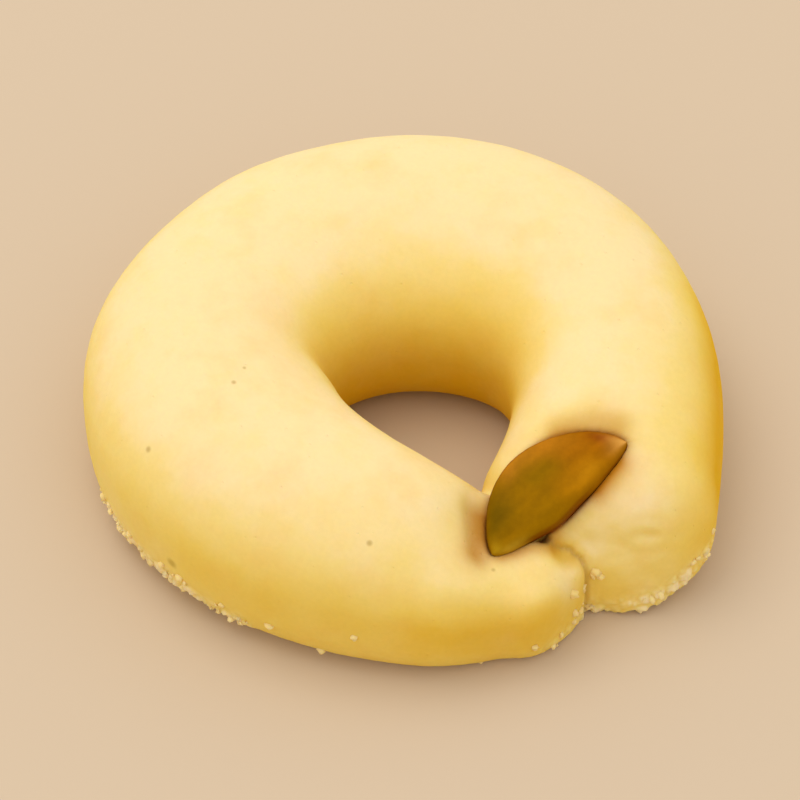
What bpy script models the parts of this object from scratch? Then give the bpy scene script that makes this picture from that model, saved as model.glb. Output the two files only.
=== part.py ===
"""A ghriba: a ring biscuit of pale shortbread dough with half a pistachio kernel on its joint.

The dough is one rope, rolled by hand and bent round a hole. It is thickest at the far side. Its left
strand tapers to a tongue at the front right, the blunt end of its right strand is pressed against that
tongue, and the nut half lies sunk in both, over the place where they meet.

Every size below is in millimetres. The biscuit stands on its flat base at z = 0, its joint faces -Y,
and the origin is under the middle of its outline.
"""

import math
from dataclasses import astuple, dataclass

import bmesh
import bpy
import numpy as np
from mathutils import Matrix, Vector, noise

MM = 0.001  # metres in a millimetre

BISCUIT = "ghriba"
DOUGH = "dough_ring"
NUT = "pistachio_half"


@dataclass(frozen=True)
class Station:
    """One control section of the rope: where its crest is in plan, and its size there."""

    x: float
    y: float
    inner: float  # half width on the side of the hole
    outer: float  # half width on the outside
    height: float
    shoulder: float  # 0 where the outside is round, 1 where its top leans out flat to a shoulder


@dataclass(frozen=True)
class Dent:
    """A shallow press mark in the top of the dough, bell shaped in section."""

    x: float
    y: float
    radius: float
    depth: float


@dataclass(frozen=True)
class Nose:
    """The rounding of one of the rope's ends, beyond its last full section."""

    reach: float  # its length, negative at the rope's first end
    roundness: float  # exponent of its outline: 1 is an ellipse, and less is squarer
    outer_roundness: float  # the same for the half of the outline on the outside of the ring
    end_height: float  # what is left of the section's height at its tip


TONGUE_NOSE = Nose(reach=-4.6, roundness=0.7, outer_roundness=2.6, end_height=0.6)
BLUNT_NOSE = Nose(reach=5.6, roundness=1.0, outer_roundness=1.0, end_height=0.35)

# The rope, from the tongue clockwise round the hole to the blunt end
ROPE = (
    Station(x=7.9, y=-14.2, inner=4.4, outer=4.5, height=7.9, shoulder=1.0),
    Station(x=4.2, y=-13.6, inner=6.0, outer=6.7, height=10.2, shoulder=0.85),
    Station(x=-0.8, y=-12.3, inner=6.9, outer=7.3, height=12.2, shoulder=0.35),
    Station(x=-7.0, y=-9.8, inner=8.1, outer=8.2, height=13.4, shoulder=0.0),
    Station(x=-12.8, y=-5.2, inner=9.9, outer=8.3, height=13.9, shoulder=0.0),
    Station(x=-15.0, y=2.4, inner=8.4, outer=8.3, height=14.1, shoulder=0.0),
    Station(x=-11.0, y=10.0, inner=8.9, outer=8.6, height=14.2, shoulder=0.0),
    Station(x=-3.2, y=14.7, inner=9.5, outer=9.0, height=14.5, shoulder=0.0),
    Station(x=5.6, y=14.4, inner=9.4, outer=9.0, height=14.5, shoulder=0.0),
    Station(x=12.9, y=9.8, inner=8.3, outer=8.1, height=13.9, shoulder=0.0),
    Station(x=15.7, y=2.4, inner=7.1, outer=7.3, height=13.1, shoulder=0.0),
    Station(x=15.0, y=-4.2, inner=7.6, outer=7.4, height=12.5, shoulder=0.0),
    Station(x=14.3, y=-8.2, inner=8.7, outer=7.7, height=11.6, shoulder=0.0),
)
OUTLINE_MIDDLE = (0.16, 1.92)  # the middle of the rope's outline, which is brought over the origin
SECTIONS_A_SPAN = 6
POINTS_A_SECTION = 44
WIDEST_AT = 0.42  # height of a section's widest level, as a share of its height
TOP_ROUNDNESS = 0.95  # exponent of the upper half: 1 is an ellipse
FOOT_ROUNDNESS = 0.55  # exponent of the lower half, which bulges down to the base
SHOULDER_SQUARENESS = 0.4  # what a shoulder takes off the exponent of the upper half
SHOULDER_FALL = 0.45  # and how far it lies below the crest, as a share of the rise
SUNK = 0.5  # the rope is modelled this much below the base, and then cut flat

NOSE_ROWS = 8
NOSE_END_POLE = 0.2  # height of a nose's very tip, as a share of the last section's height

# The dough's unevenness
ROLLING_DEPTH = 0.22
ROLLING_WAVE = 9.0
DENTS = (
    Dent(x=4.9, y=-15.3, radius=2.3, depth=1.1),
    Dent(x=13.6, y=-14.3, radius=3.2, depth=0.7),
)

# The dough that squeezes up between the two ends, under the nut
SQUEEZE_MIDDLE = Vector((8.8, -13.0, 6.6))
SQUEEZE_HALF_SIZE = (3.2, 2.4, 2.9)  # along the seam, across it and up
SQUEEZE_TURN = math.radians(-35.0)  # from the x axis to the seam

# The nut half: cut face up and nearly flat, its low tip on the tongue and its high tip on the right strand
NUT_LOW_TIP = Vector((6.1, -16.7, 7.6))
NUT_HIGH_TIP = Vector((15.4, -9.8, 11.5))
NUT_ROLL = math.radians(6.0)
NUT_FAR_WIDTH = 4.1  # half width of the side towards the hole, which bulges more
NUT_NEAR_WIDTH = 1.4
NUT_CROWN = 0.8  # thickness above the line through the tips
NUT_KEEL = 2.2  # and below it
NUT_POINT = 0.62  # exponent of its taper: 0.5 is an ellipse, 1 a lens with sharp tips
NUT_GAP = 0.32  # clearance of the pocket that it lies in
POCKET_CROWN = 3.5  # the pocket is open this far above the line through the tips
NUT_RINGS = 22
NUT_SIDES = 24

FLOOR_CUTTER_SIDE = 80.0
FLOOR_CUTTER_DEPTH = 6.0
SHARP_ANGLE = math.radians(50.0)


def clear_scene():
    for found in list(bpy.data.objects):
        bpy.data.objects.remove(found, do_unlink=True)


def new_collection(name, hidden=False):
    made = bpy.data.collections.new(name)
    made.hide_render = hidden
    bpy.context.scene.collection.children.link(made)
    return made


def linear(byte):
    """The linear value of an sRGB byte."""
    share = byte / 255.0
    return share / 12.92 if share <= 0.04045 else ((share + 0.055) / 1.055) ** 2.4


def new_material(name, srgb, roughness, subsurface=0.0):
    made = bpy.data.materials.new(name)
    made.use_nodes = True
    shader = made.node_tree.nodes["Principled BSDF"]
    shader.inputs["Base Color"].default_value = (*map(linear, srgb), 1.0)
    shader.inputs["Roughness"].default_value = roughness
    shader.inputs["Metallic"].default_value = 0.0
    shader.inputs["Subsurface Weight"].default_value = subsurface
    return made


def new_object(name, form, collection, material=None):
    """An object that holds the bmesh `form`, whose normals are turned outwards first."""
    bmesh.ops.recalc_face_normals(form, faces=form.faces)
    mesh = bpy.data.meshes.new(name)
    form.to_mesh(mesh)
    form.free()
    made = bpy.data.objects.new(name, mesh)
    if material:
        mesh.materials.append(material)
    collection.objects.link(made)
    return made


def spline_rows(rows, steps):
    """Rows read from the uniform cubic B-spline whose control points are `rows`, ends included."""
    held = np.vstack([2 * rows[0] - rows[1], rows, 2 * rows[-1] - rows[-2]])
    found = []
    for before, here, after, beyond in zip(held, held[1:], held[2:], held[3:]):
        for t in np.arange(steps) / steps:
            found.append(
                (1 - t) ** 3 / 6 * before
                + (3 * t**3 - 6 * t**2 + 4) / 6 * here
                + (-3 * t**3 + 3 * t**2 + 3 * t + 1) / 6 * after
                + t**3 / 6 * beyond
            )
    return np.array(found + [rows[-1]])


def power(value, exponent):
    return math.copysign(abs(value) ** exponent, value)


def knead(point, height):
    """The point moved as rolling and pressing by hand leave it."""
    top = min(1.0, max(0.0, point.z / height))
    roll = ROLLING_DEPTH * noise.noise(point / ROLLING_WAVE)
    middle = Vector((point.x, point.y, 0.0))
    outwards = middle.normalized() if middle.length else Vector((0.0, 0.0, 0.0))
    moved = point + roll * (outwards + Vector((0.0, 0.0, top)))
    for dent in DENTS:
        away = (moved.xy - Vector((dent.x, dent.y))).length / dent.radius
        moved.z -= dent.depth * top**2 * math.exp(-(away**2))
    return moved


def section_points(centre, along, inner, outer, height, shoulder):
    """The ring of points of one section, which stands across the direction `along`."""
    to_hole = Vector((along.y, -along.x, 0.0))
    widest = WIDEST_AT * height
    points = []
    for turn in range(POINTS_A_SECTION):
        angle = 2 * math.pi * turn / POINTS_A_SECTION
        across, up = math.cos(angle), math.sin(angle)
        half_width = inner if across > 0 else outer
        squared = shoulder if across < 0 else 0.0
        exponent = TOP_ROUNDNESS - SHOULDER_SQUARENESS * squared if up >= 0 else FOOT_ROUNDNESS
        side = power(across, exponent)
        rise = (height - widest) * (1 + SHOULDER_FALL * squared * side) if up >= 0 else widest + SUNK
        level = widest + rise * power(up, exponent)
        points.append(knead(centre + half_width * side * to_hole + Vector((0.0, 0.0, level)), height))
    return points


def nose_rows(centre, along, size, nose):
    """Sections that round off an end, from its last full section out, and the point they close on."""
    inner, outer, height, shoulder = size
    rows = []
    for row in range(1, NOSE_ROWS):
        angle = 0.5 * math.pi * row / NOSE_ROWS
        share = math.cos(angle) ** nose.roundness
        outer_share = math.cos(angle) ** nose.outer_roundness
        left = nose.end_height + (1 - nose.end_height) * share
        place = centre + nose.reach * math.sin(angle) ** nose.roundness * along
        rows.append(
            section_points(place, along, inner * share, outer * outer_share, height * left, shoulder)
        )
    pole = centre + nose.reach * along + Vector((0.0, 0.0, NOSE_END_POLE * height))
    return rows, pole


def rope_form():
    """The rope as one closed loft, whose two ends run a little way into each other."""
    middle = np.array(OUTLINE_MIDDLE)
    sections = spline_rows(np.array([astuple(station) for station in ROPE]), SECTIONS_A_SPAN)
    places = sections[:, :2] - middle
    centres = [Vector((x, y, 0.0)) for x, y in places]
    alongs = [Vector((x, y, 0.0)).normalized() for x, y in np.gradient(places, axis=0)]
    sizes = sections[:, 2:].tolist()
    rings = [
        section_points(centre, along, *size) for centre, along, size in zip(centres, alongs, sizes)
    ]
    tongue, tongue_pole = nose_rows(centres[0], alongs[0], sizes[0], TONGUE_NOSE)
    blunt, blunt_pole = nose_rows(centres[-1], alongs[-1], sizes[-1], BLUNT_NOSE)
    form = bmesh.new()
    rows = [[form.verts.new(point) for point in ring] for ring in tongue[::-1] + rings + blunt]
    for row, after in zip(rows, rows[1:]):
        bridge(form, row, after)
    close(form, rows[0], tongue_pole)
    close(form, rows[-1], blunt_pole)
    return form


def bridge(form, row, after):
    count = len(row)
    for turn in range(count):
        beside = (turn + 1) % count
        form.faces.new((row[turn], row[beside], after[beside], after[turn]))


def close(form, row, pole):
    tip = form.verts.new(pole)
    count = len(row)
    for turn in range(count):
        form.faces.new((row[turn], row[(turn + 1) % count], tip))


def nut_form(gap=0.0, crown=NUT_CROWN):
    """The nut half about its own middle: tips on the x axis, the side to the hole at +y, crown up."""
    half_length = (NUT_HIGH_TIP - NUT_LOW_TIP).length / 2 + gap
    form = bmesh.new()
    bmesh.ops.create_uvsphere(form, u_segments=NUT_SIDES, v_segments=NUT_RINGS, radius=1.0)
    for vert in form.verts:
        along = max(-1.0, min(1.0, vert.co.z))
        ring = math.sqrt(max(0.0, 1.0 - along**2))
        swell = ring ** (2 * NUT_POINT)
        across, up = (vert.co.x / ring, vert.co.y / ring) if ring > 1e-6 else (0.0, 0.0)
        half_width = (NUT_FAR_WIDTH if across > 0 else NUT_NEAR_WIDTH) + gap
        thick = (crown if up > 0 else NUT_KEEL) + gap
        vert.co = Vector((half_length * along, half_width * across * swell, thick * up * swell))
    return form


def nut_place():
    """Where the nut lies: its x axis runs from the low tip to the high one, and z is its crown."""
    along = (NUT_HIGH_TIP - NUT_LOW_TIP).normalized()
    crown = Vector((0.0, 0.0, 1.0))
    crown = (crown - crown.dot(along) * along).normalized()
    across = crown.cross(along)
    turned = Matrix((along, across, crown)).transposed().to_4x4()
    return Matrix.Translation((NUT_HIGH_TIP + NUT_LOW_TIP) / 2) @ turned @ Matrix.Rotation(NUT_ROLL, 4, "X")


def to_metres(form):
    bmesh.ops.scale(form, vec=(MM, MM, MM), verts=form.verts)
    return form


def in_metres(place):
    """A placing matrix in millimetres, as one in metres."""
    return Matrix.Translation(place.translation * MM) @ place.to_3x3().to_4x4()


def squeezed_dough(collection):
    form = bmesh.new()
    bmesh.ops.create_icosphere(form, subdivisions=3, radius=1.0)
    bmesh.ops.scale(form, vec=SQUEEZE_HALF_SIZE, verts=form.verts)
    bmesh.ops.rotate(form, matrix=Matrix.Rotation(SQUEEZE_TURN, 3, "Z"), verts=form.verts)
    bmesh.ops.translate(form, vec=SQUEEZE_MIDDLE, verts=form.verts)
    return new_object("squeezed_dough", to_metres(form), collection)


def floor_cutter(collection):
    form = bmesh.new()
    bmesh.ops.create_cube(form, size=1.0)
    sizes = (FLOOR_CUTTER_SIDE, FLOOR_CUTTER_SIDE, FLOOR_CUTTER_DEPTH)
    bmesh.ops.scale(form, vec=sizes, verts=form.verts)
    bmesh.ops.translate(form, vec=(0.0, 0.0, -FLOOR_CUTTER_DEPTH / 2), verts=form.verts)
    return new_object("floor_cutter", to_metres(form), collection)


def nut_pocket_cutter(collection):
    made = new_object("nut_pocket_cutter", to_metres(nut_form(NUT_GAP, POCKET_CROWN)), collection)
    made.matrix_world = in_metres(nut_place())
    return made


def combine(target, tool, operation):
    """Joins the tool's shape to the target or takes it out, and joins the target's own overlaps."""
    tool.hide_render = True
    tool.display_type = "WIRE"
    modifier = target.modifiers.new(tool.name, "BOOLEAN")
    modifier.operation = operation
    modifier.solver = "EXACT"
    modifier.use_self = True
    modifier.object = tool


def smooth(target):
    target.data.shade_smooth()
    target.data.set_sharp_from_angle(angle=SHARP_ANGLE)


def make_dough(parts, tools):
    baked = new_material("pale_shortbread", srgb=(250, 229, 160), roughness=0.85, subsurface=0.1)
    dough = new_object(DOUGH, to_metres(rope_form()), parts, baked)
    smooth(dough)
    combine(dough, squeezed_dough(tools), "UNION")
    combine(dough, floor_cutter(tools), "DIFFERENCE")
    combine(dough, nut_pocket_cutter(tools), "DIFFERENCE")
    return dough


def make_nut(parts):
    kernel = new_material("pistachio_kernel", srgb=(150, 108, 18), roughness=0.5)
    nut = new_object(NUT, to_metres(nut_form()), parts, kernel)
    nut.matrix_world = in_metres(nut_place())
    smooth(nut)
    return nut


def main():
    clear_scene()
    parts = new_collection(BISCUIT)
    tools = new_collection("tools", hidden=True)
    make_dough(parts, tools)
    make_nut(parts)


main()
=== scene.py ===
"""The looks of a ghriba: a ring biscuit of pale shortbread dough with half a pistachio kernel on its joint.

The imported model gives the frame: metres, +Z up, the biscuit on z = 0, its joint at the front right. The
rope of dough and the nut are copied from their solids, smoothed, and given the relief that hands, heat and
crumbling leave on them. Crumbs are scattered where the dough has crumbled.
"""

import logging
import math
from dataclasses import dataclass, field
from enum import Enum

import bmesh
import bpy
import numpy as np
from mathutils import Matrix, Vector, noise
from mathutils.bvhtree import BVHTree
from mathutils.kdtree import KDTree


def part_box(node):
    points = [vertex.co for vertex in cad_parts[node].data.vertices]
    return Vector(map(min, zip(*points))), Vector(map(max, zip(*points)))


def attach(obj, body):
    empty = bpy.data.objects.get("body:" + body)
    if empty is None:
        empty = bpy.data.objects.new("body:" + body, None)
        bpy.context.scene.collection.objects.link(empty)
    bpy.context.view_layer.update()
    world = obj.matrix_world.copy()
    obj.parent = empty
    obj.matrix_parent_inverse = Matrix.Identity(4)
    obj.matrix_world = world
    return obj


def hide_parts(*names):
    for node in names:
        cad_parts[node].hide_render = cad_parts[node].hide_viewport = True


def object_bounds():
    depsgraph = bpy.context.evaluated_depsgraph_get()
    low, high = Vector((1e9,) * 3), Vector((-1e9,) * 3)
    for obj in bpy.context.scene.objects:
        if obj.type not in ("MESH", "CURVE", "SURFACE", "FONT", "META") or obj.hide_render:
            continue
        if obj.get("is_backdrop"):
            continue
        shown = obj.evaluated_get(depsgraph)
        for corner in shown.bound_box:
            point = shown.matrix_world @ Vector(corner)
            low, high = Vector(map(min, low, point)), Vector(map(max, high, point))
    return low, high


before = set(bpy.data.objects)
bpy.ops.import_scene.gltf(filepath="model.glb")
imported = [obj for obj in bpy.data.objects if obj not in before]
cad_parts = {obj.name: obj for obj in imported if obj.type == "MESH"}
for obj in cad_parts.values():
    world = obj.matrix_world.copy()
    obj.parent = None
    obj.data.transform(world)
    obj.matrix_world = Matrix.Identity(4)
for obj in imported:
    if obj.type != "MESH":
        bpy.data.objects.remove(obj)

MM = 0.001
BODY = "root"
MERGE_DISTANCE = 0.001 * MM
MARK_STEP = 0.15 * MM  # spacing of the places along a mark
SEAM_STEP = 0.1 * MM
HALFWAY = 0.5  # how far one pass of smoothing moves a point towards the middle of its neighbours

# The sockets of a Mix node that mixes colours
MIX_FACTOR, MIX_A, MIX_B, MIX_RESULT = 0, 6, 7, 2
# Where most values of a noise node and of the veins lie, and the middle of a noise node's colours
NOISE_SPAN = {"From Min": 0.3, "From Max": 0.7}
VEIN_SPAN = {"From Min": -0.6, "From Max": 0.6}
NOISE_MIDDLE = (0.5, 0.5, 0.5)

Array = np.ndarray
Tree = bpy.types.NodeTree
Socket = bpy.types.NodeSocket
Mesh = bpy.types.Mesh
Material = bpy.types.Material
Piece = bpy.types.Object
Colour = tuple[float, float, float, float]
Place = tuple[float, float, float]
Ball = tuple[float, float, float, float]
Span = tuple[float, float]

log = logging.getLogger("ghriba")


class Slot(Enum):
    """The material slots of the record."""

    DOUGH = "dough"
    NUT = "nut"


class Solid(Enum):
    """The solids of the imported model."""

    DOUGH = "dough_ring"
    NUT = "pistachio_half"


# ---------------- nodes and colours


def linear(srgb_hex: str) -> Colour:
    """Turns an sRGB hex value into a linear colour.

    Args:
        srgb_hex: The colour, as "#RRGGBB".

    Returns:
        The linear red, green, blue and an alpha of 1.
    """
    shares = [int(srgb_hex[start : start + 2], 16) / 255.0 for start in (1, 3, 5)]
    red, green, blue = (c / 12.92 if c <= 0.04045 else ((c + 0.055) / 1.055) ** 2.4 for c in shares)
    return red, green, blue, 1.0


def add(tree: Tree, kind: str, settings: dict | None = None, inputs: dict | None = None) -> bpy.types.Node:
    """Adds a node with its settings and links.

    Args:
        tree: The node tree that gets the node.
        kind: The node's type.
        settings: Values of its properties, by name.
        inputs: What goes into its sockets, by name or number: a constant, or an output to link from.

    Returns:
        The node.
    """
    node = tree.nodes.new(kind)
    for name, value in (settings or {}).items():
        setattr(node, name, value)
    for key, value in (inputs or {}).items():
        if isinstance(value, Socket):
            tree.links.new(value, node.inputs[key])
        else:
            node.inputs[key].default_value = value
    return node


def new_material(name: str, constants: dict) -> tuple[Material, Tree, bpy.types.Node]:
    """Makes a material with one principled shader.

    Args:
        name: The material's name.
        constants: Values of the shader's own sockets, by name.

    Returns:
        The material, its node tree and its shader.
    """
    material = bpy.data.materials.new(name)
    material.use_nodes = True
    shader = material.node_tree.nodes["Principled BSDF"]
    for socket, value in constants.items():
        shader.inputs[socket].default_value = value
    return material, material.node_tree, shader


# ---------------- meshes and numbers


def new_piece(name: str, mesh: Mesh, material: Material | None = None) -> Piece:
    """Links an object that holds the mesh, at the origin.

    Args:
        name: The piece's name.
        mesh: Its mesh, with its place in its points.
        material: What it is dressed in, unless its mesh is dressed already.

    Returns:
        The object.
    """
    piece = bpy.data.objects.new(name, mesh)
    bpy.context.scene.collection.objects.link(piece)
    if material:
        mesh.materials.clear()
        mesh.materials.append(material)
    return piece


def merged_copy(solid: Solid) -> bmesh.types.BMesh:
    """Copies a solid's loose triangles and joins them.

    Args:
        solid: Which solid.

    Returns:
        A bmesh, in metres, that the caller frees.
    """
    form = bmesh.new()
    form.from_mesh(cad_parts[solid.value].data)
    bmesh.ops.remove_doubles(form, verts=form.verts, dist=MERGE_DISTANCE)
    bmesh.ops.recalc_face_normals(form, faces=form.faces)
    return form


def remeshed(name: str, form: bmesh.types.BMesh, voxel: float, passes: int) -> Mesh:
    """Turns a faceted form into an even, smooth mesh.

    Args:
        name: The mesh's name.
        form: The closed form, which is freed.
        voxel: Spacing of the new mesh.
        passes: How many times it is smoothed.

    Returns:
        The new mesh.
    """
    rough = bpy.data.meshes.new(f"rough_{name}")
    form.to_mesh(rough)
    form.free()
    holder = new_piece(rough.name, rough)
    remesh = holder.modifiers.new("even_mesh", "REMESH")
    remesh.mode = "VOXEL"
    remesh.voxel_size = voxel
    smooth = holder.modifiers.new("smooth", "SMOOTH")
    smooth.factor = HALFWAY
    smooth.iterations = passes
    return baked(holder, name)


def baked(holder: Piece, name: str) -> Mesh:
    """Turns what an object's modifiers make into a plain mesh, and removes the object.

    Args:
        holder: The object with the live modifiers.
        name: The new mesh's name.

    Returns:
        The mesh.
    """
    evaluated = holder.evaluated_get(bpy.context.evaluated_depsgraph_get())
    mesh = bpy.data.meshes.new_from_object(evaluated)
    mesh.name = name
    bpy.data.objects.remove(holder, do_unlink=True)
    return mesh


def read_points(mesh: Mesh) -> Array:
    """Gives the mesh's points as rows of x, y, z.

    Args:
        mesh: The mesh.

    Returns:
        One row for each point.
    """
    points = np.empty(len(mesh.vertices) * 3)
    mesh.vertices.foreach_get("co", points)
    return points.reshape(-1, 3)


def read_normals(mesh: Mesh) -> Array:
    """Gives the normals at the mesh's points as rows of x, y, z.

    Args:
        mesh: The mesh.

    Returns:
        One row for each point.
    """
    normals = np.empty(len(mesh.vertices) * 3)
    mesh.vertex_normals.foreach_get("vector", normals)
    return normals.reshape(-1, 3)


def write_points(mesh: Mesh, points: Array) -> None:
    """Moves the mesh's points to the rows given."""
    mesh.vertices.foreach_set("co", points.ravel())
    mesh.update()


def write_attribute(mesh: Mesh, name: str, values: Array) -> None:
    """Keeps one number for each point of the mesh, for the materials and the scatter."""
    mesh.attributes.new(name, "FLOAT", "POINT").data.foreach_set("value", values.astype(np.float32))


def surface_of(mesh: Mesh) -> BVHTree:
    """Gives a tree for finding the nearest place on a mesh."""
    faces = [tuple(face.vertices) for face in mesh.polygons]
    return BVHTree.FromPolygons([vert.co for vert in mesh.vertices], faces)


def refine(mesh: Mesh, chosen: Array, passes: int) -> None:
    """Makes a mesh twice as fine where its points are chosen.

    Args:
        mesh: The mesh.
        chosen: For each of its points, whether the mesh is refined there.
        passes: How many times it is smoothed there.
    """
    form = bmesh.new()
    form.from_mesh(mesh)
    form.verts.ensure_lookup_table()
    coarse_count = len(form.verts)
    edges = [edge for edge in form.edges if all(chosen[vert.index] for vert in edge.verts)]
    bmesh.ops.subdivide_edges(form, edges=edges, cuts=1, use_grid_fill=True)
    form.verts.index_update()
    fine = [vert for vert in form.verts if vert.index >= coarse_count or chosen[vert.index]]
    for _ in range(passes):
        bmesh.ops.smooth_vert(
            form, verts=fine, factor=HALFWAY, use_axis_x=True, use_axis_y=True, use_axis_z=True
        )
    form.to_mesh(mesh)
    form.free()
    mesh.update()


def ripple(points: Array, wave: float, seed: float) -> Array:
    """Gives smooth noise, about -1 to 1, at each point: `wave` is its bumps' size and `seed` shifts it."""
    shift = Vector((seed, -seed, 2.0 * seed))
    return np.array([noise.noise(Vector(point) / wave + shift) for point in points])


def nearest_distance(points: Array, places: list[Vector]) -> Array:
    """Gives how far each point is from the nearest of the places.

    Args:
        points: Rows of x, y, z.
        places: The places.

    Returns:
        One distance for each point.
    """
    tree = KDTree(len(places))
    for index, place in enumerate(places):
        tree.insert(place, index)
    tree.balance()
    return np.array([tree.find(point)[2] for point in points])


def bell(distance: Array, reach: float, height: float = 1.0) -> Array:
    """A bell that has its height at no distance and fades over `reach`."""
    return height * np.exp(-((distance / reach) ** 2))


def ramp(values: Array, start: float, end: float) -> Array:
    """A smooth step from 0 at `start` to 1 at `end`."""
    share = np.clip((values - start) / (end - start), 0.0, 1.0)
    return share * share * (3.0 - 2.0 * share)


def along_line(places: list[Vector], step: float) -> list[Vector]:
    """Gives evenly spaced places along the straight pieces between the given ones.

    Args:
        places: The corners of the line.
        step: The widest spacing.

    Returns:
        The places, with both ends of the line.
    """
    found = [places[0]]
    for start, end in zip(places, places[1:]):
        count = max(1, math.ceil((end - start).length / step))
        found += [start.lerp(end, (index + 1) / count) for index in range(count)]
    return found


# ---------------- materials


@dataclass(frozen=True)
class PaleShortbread:
    """Shortbread of flour, clarified butter and icing sugar, rolled by hand and baked until just set.

    It gives a matt, floury skin that light enters a little. It is palest on the crown and golden on
    the steep flanks, partly from the oven's drying and partly as painted light and shade by slope and
    height, and deep gold on the walls of the hole, which is painted shade.
    """

    name: str = "pale_baked_shortbread"
    # From the foot of the hole to the crown: the level of drying and painted light, and its colour
    tones: tuple[tuple[float, str], ...] = (
        (0.0, "#E5B21F"),
        (0.25, "#EAC24A"),
        (0.5, "#EECE65"),
        (0.78, "#F1D786"),
        (1.0, "#F5DEA8"),
    )
    # Colour of the painted shade in the seam, at its mouth and round the nut
    crevice: str = "#864400"
    # The colour of the browning and of the painted shade beside the nut
    stain_and_shade_colour: str = "#BB7B1C"
    toasted: str = "#EDB75C"
    speck: str = "#A27C28"
    mottle_size: float = 3.0 * MM
    mottle: float = 0.06  # how much drier or moister the mottling makes it
    toasted_size: float = 5.0 * MM
    toasted_span: Span = (0.5, 0.8)  # the values of its noise over which the toasting grows
    toasted_share: float = 0.3
    toasted_seed: float = 3.0
    grain_size: float = 0.35 * MM
    grain_depth: float = 0.014 * MM
    grain_shade: Span = (0.98, 1.01)
    pore_spacing: float = 1.3 * MM
    pore_edge: Span = (0.02, 0.10)  # from its floor to its rim, as shares of the spacing
    pore_depth: float = 0.03 * MM
    roughness: float = 0.85
    gloss: float = 0.06
    glow: float = 0.25
    glow_by_colour: Place = (1.0, 0.55, 0.18)
    glow_depth: float = 1.2 * MM
    # Specks of toasted flour on the skin, in millimetres: x, y, z and radius
    specks: tuple[Ball, ...] = (
        (-17.6, -10.3, 11.3, 0.32),
        (-2.3, -18.2, 10.6, 0.30),
        (-11.7, -6.3, 13.7, 0.26),
        (-11.0, -4.9, 13.6, 0.22),
        (-16.0, -14.9, 4.6, 0.60),
        (2.9, -19.7, 8.0, 0.28),
        (6.2, -17.9, 7.5, 0.24),
    )
    speck_core: float = 0.2  # share of a speck's radius that has its full colour
    speck_strength: float = 0.5

    def material(self) -> Material:
        """Makes the material.

        Returns:
            The material.
        """
        constants = {
            "Roughness": self.roughness,
            "Specular IOR Level": self.gloss,
            "Subsurface Weight": self.glow,
            "Subsurface Radius": self.glow_by_colour,
            "Subsurface Scale": self.glow_depth,
        }
        material, tree, shader = new_material(self.name, constants)
        place = add(tree, "ShaderNodeTexCoord").outputs["Object"]
        inputs = {"Vector": place, "Scale": 1.0 / self.grain_size, "Detail": 2.0, "Roughness": 0.6}
        grain = add(tree, "ShaderNodeTexNoise", inputs=inputs).outputs[0]
        tree.links.new(self.skin_colour(tree, place, grain), shader.inputs["Base Color"])
        tree.links.new(self.relief(tree, place, grain), shader.inputs["Normal"])
        return material

    def skin_colour(self, tree: Tree, place: Socket, grain: Socket) -> Socket:
        """Adds the nodes of the skin's colour.

        Args:
            tree: The node tree.
            place: The object coordinates.
            grain: The noise of the flour grains.

        Returns:
            The output that holds the colour.
        """
        skin = self.toned(tree, self.dryness_and_painted_light(tree, place))
        layers = [(self.toasting(tree, place), self.toasted)]
        for name, colour in (("stain", self.stain_and_shade_colour), ("crevice", self.crevice)):
            share = add(tree, "ShaderNodeAttribute", {"attribute_name": name}).outputs["Fac"]
            layers.append((share, colour))
        layers += [(self.speckled(tree, place, ball), self.speck) for ball in self.specks]
        for share, colour in layers:
            inputs = {MIX_FACTOR: share, MIX_A: skin, MIX_B: linear(colour)}
            skin = add(tree, "ShaderNodeMix", {"data_type": "RGBA"}, inputs).outputs[MIX_RESULT]
        darkest, lightest = self.grain_shade
        inputs = {"Value": grain, **NOISE_SPAN, "To Min": darkest, "To Max": lightest}
        floury = add(tree, "ShaderNodeMapRange", inputs=inputs).outputs[0]
        settings = {"data_type": "RGBA", "blend_type": "MULTIPLY"}
        inputs = {MIX_FACTOR: 1.0, MIX_A: skin, MIX_B: floury}
        return add(tree, "ShaderNodeMix", settings, inputs).outputs[MIX_RESULT]

    def dryness_and_painted_light(self, tree: Tree, place: Socket) -> Socket:
        """Adds the nodes of the skin's drying and painted light: what the mesh says, and mottling.

        Args:
            tree: The node tree.
            place: The object coordinates.

        Returns:
            The output that holds it, from 0 to 1.
        """
        inputs = {"Vector": place, "Scale": 1.0 / self.mottle_size, "Detail": 3.0, "Roughness": 0.55}
        mottling = add(tree, "ShaderNodeTexNoise", inputs=inputs).outputs[0]
        inputs = {"Value": mottling, **NOISE_SPAN, "To Min": -self.mottle, "To Max": self.mottle}
        uneven = add(tree, "ShaderNodeMapRange", inputs=inputs).outputs[0]
        dried = add(tree, "ShaderNodeAttribute", {"attribute_name": "dried"}).outputs["Fac"]
        return add(tree, "ShaderNodeMath", {"operation": "ADD"}, {0: dried, 1: uneven}).outputs[0]

    def toned(self, tree: Tree, dryness_and_painted_light: Socket) -> Socket:
        """Turns the level of drying and painted light into the skin's colour.

        Args:
            tree: The node tree.
            dryness_and_painted_light: The level of drying and painted light, from 0 to 1.

        Returns:
            The output that holds the colour.
        """
        ramp_node = add(tree, "ShaderNodeValToRGB", inputs={"Fac": dryness_and_painted_light})
        stops = ramp_node.color_ramp.elements
        while len(stops) < len(self.tones):
            stops.new(1.0)
        for stop, (level, colour) in zip(stops, self.tones):
            stop.position = level
            stop.color = linear(colour)
        return ramp_node.outputs["Color"]

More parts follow.
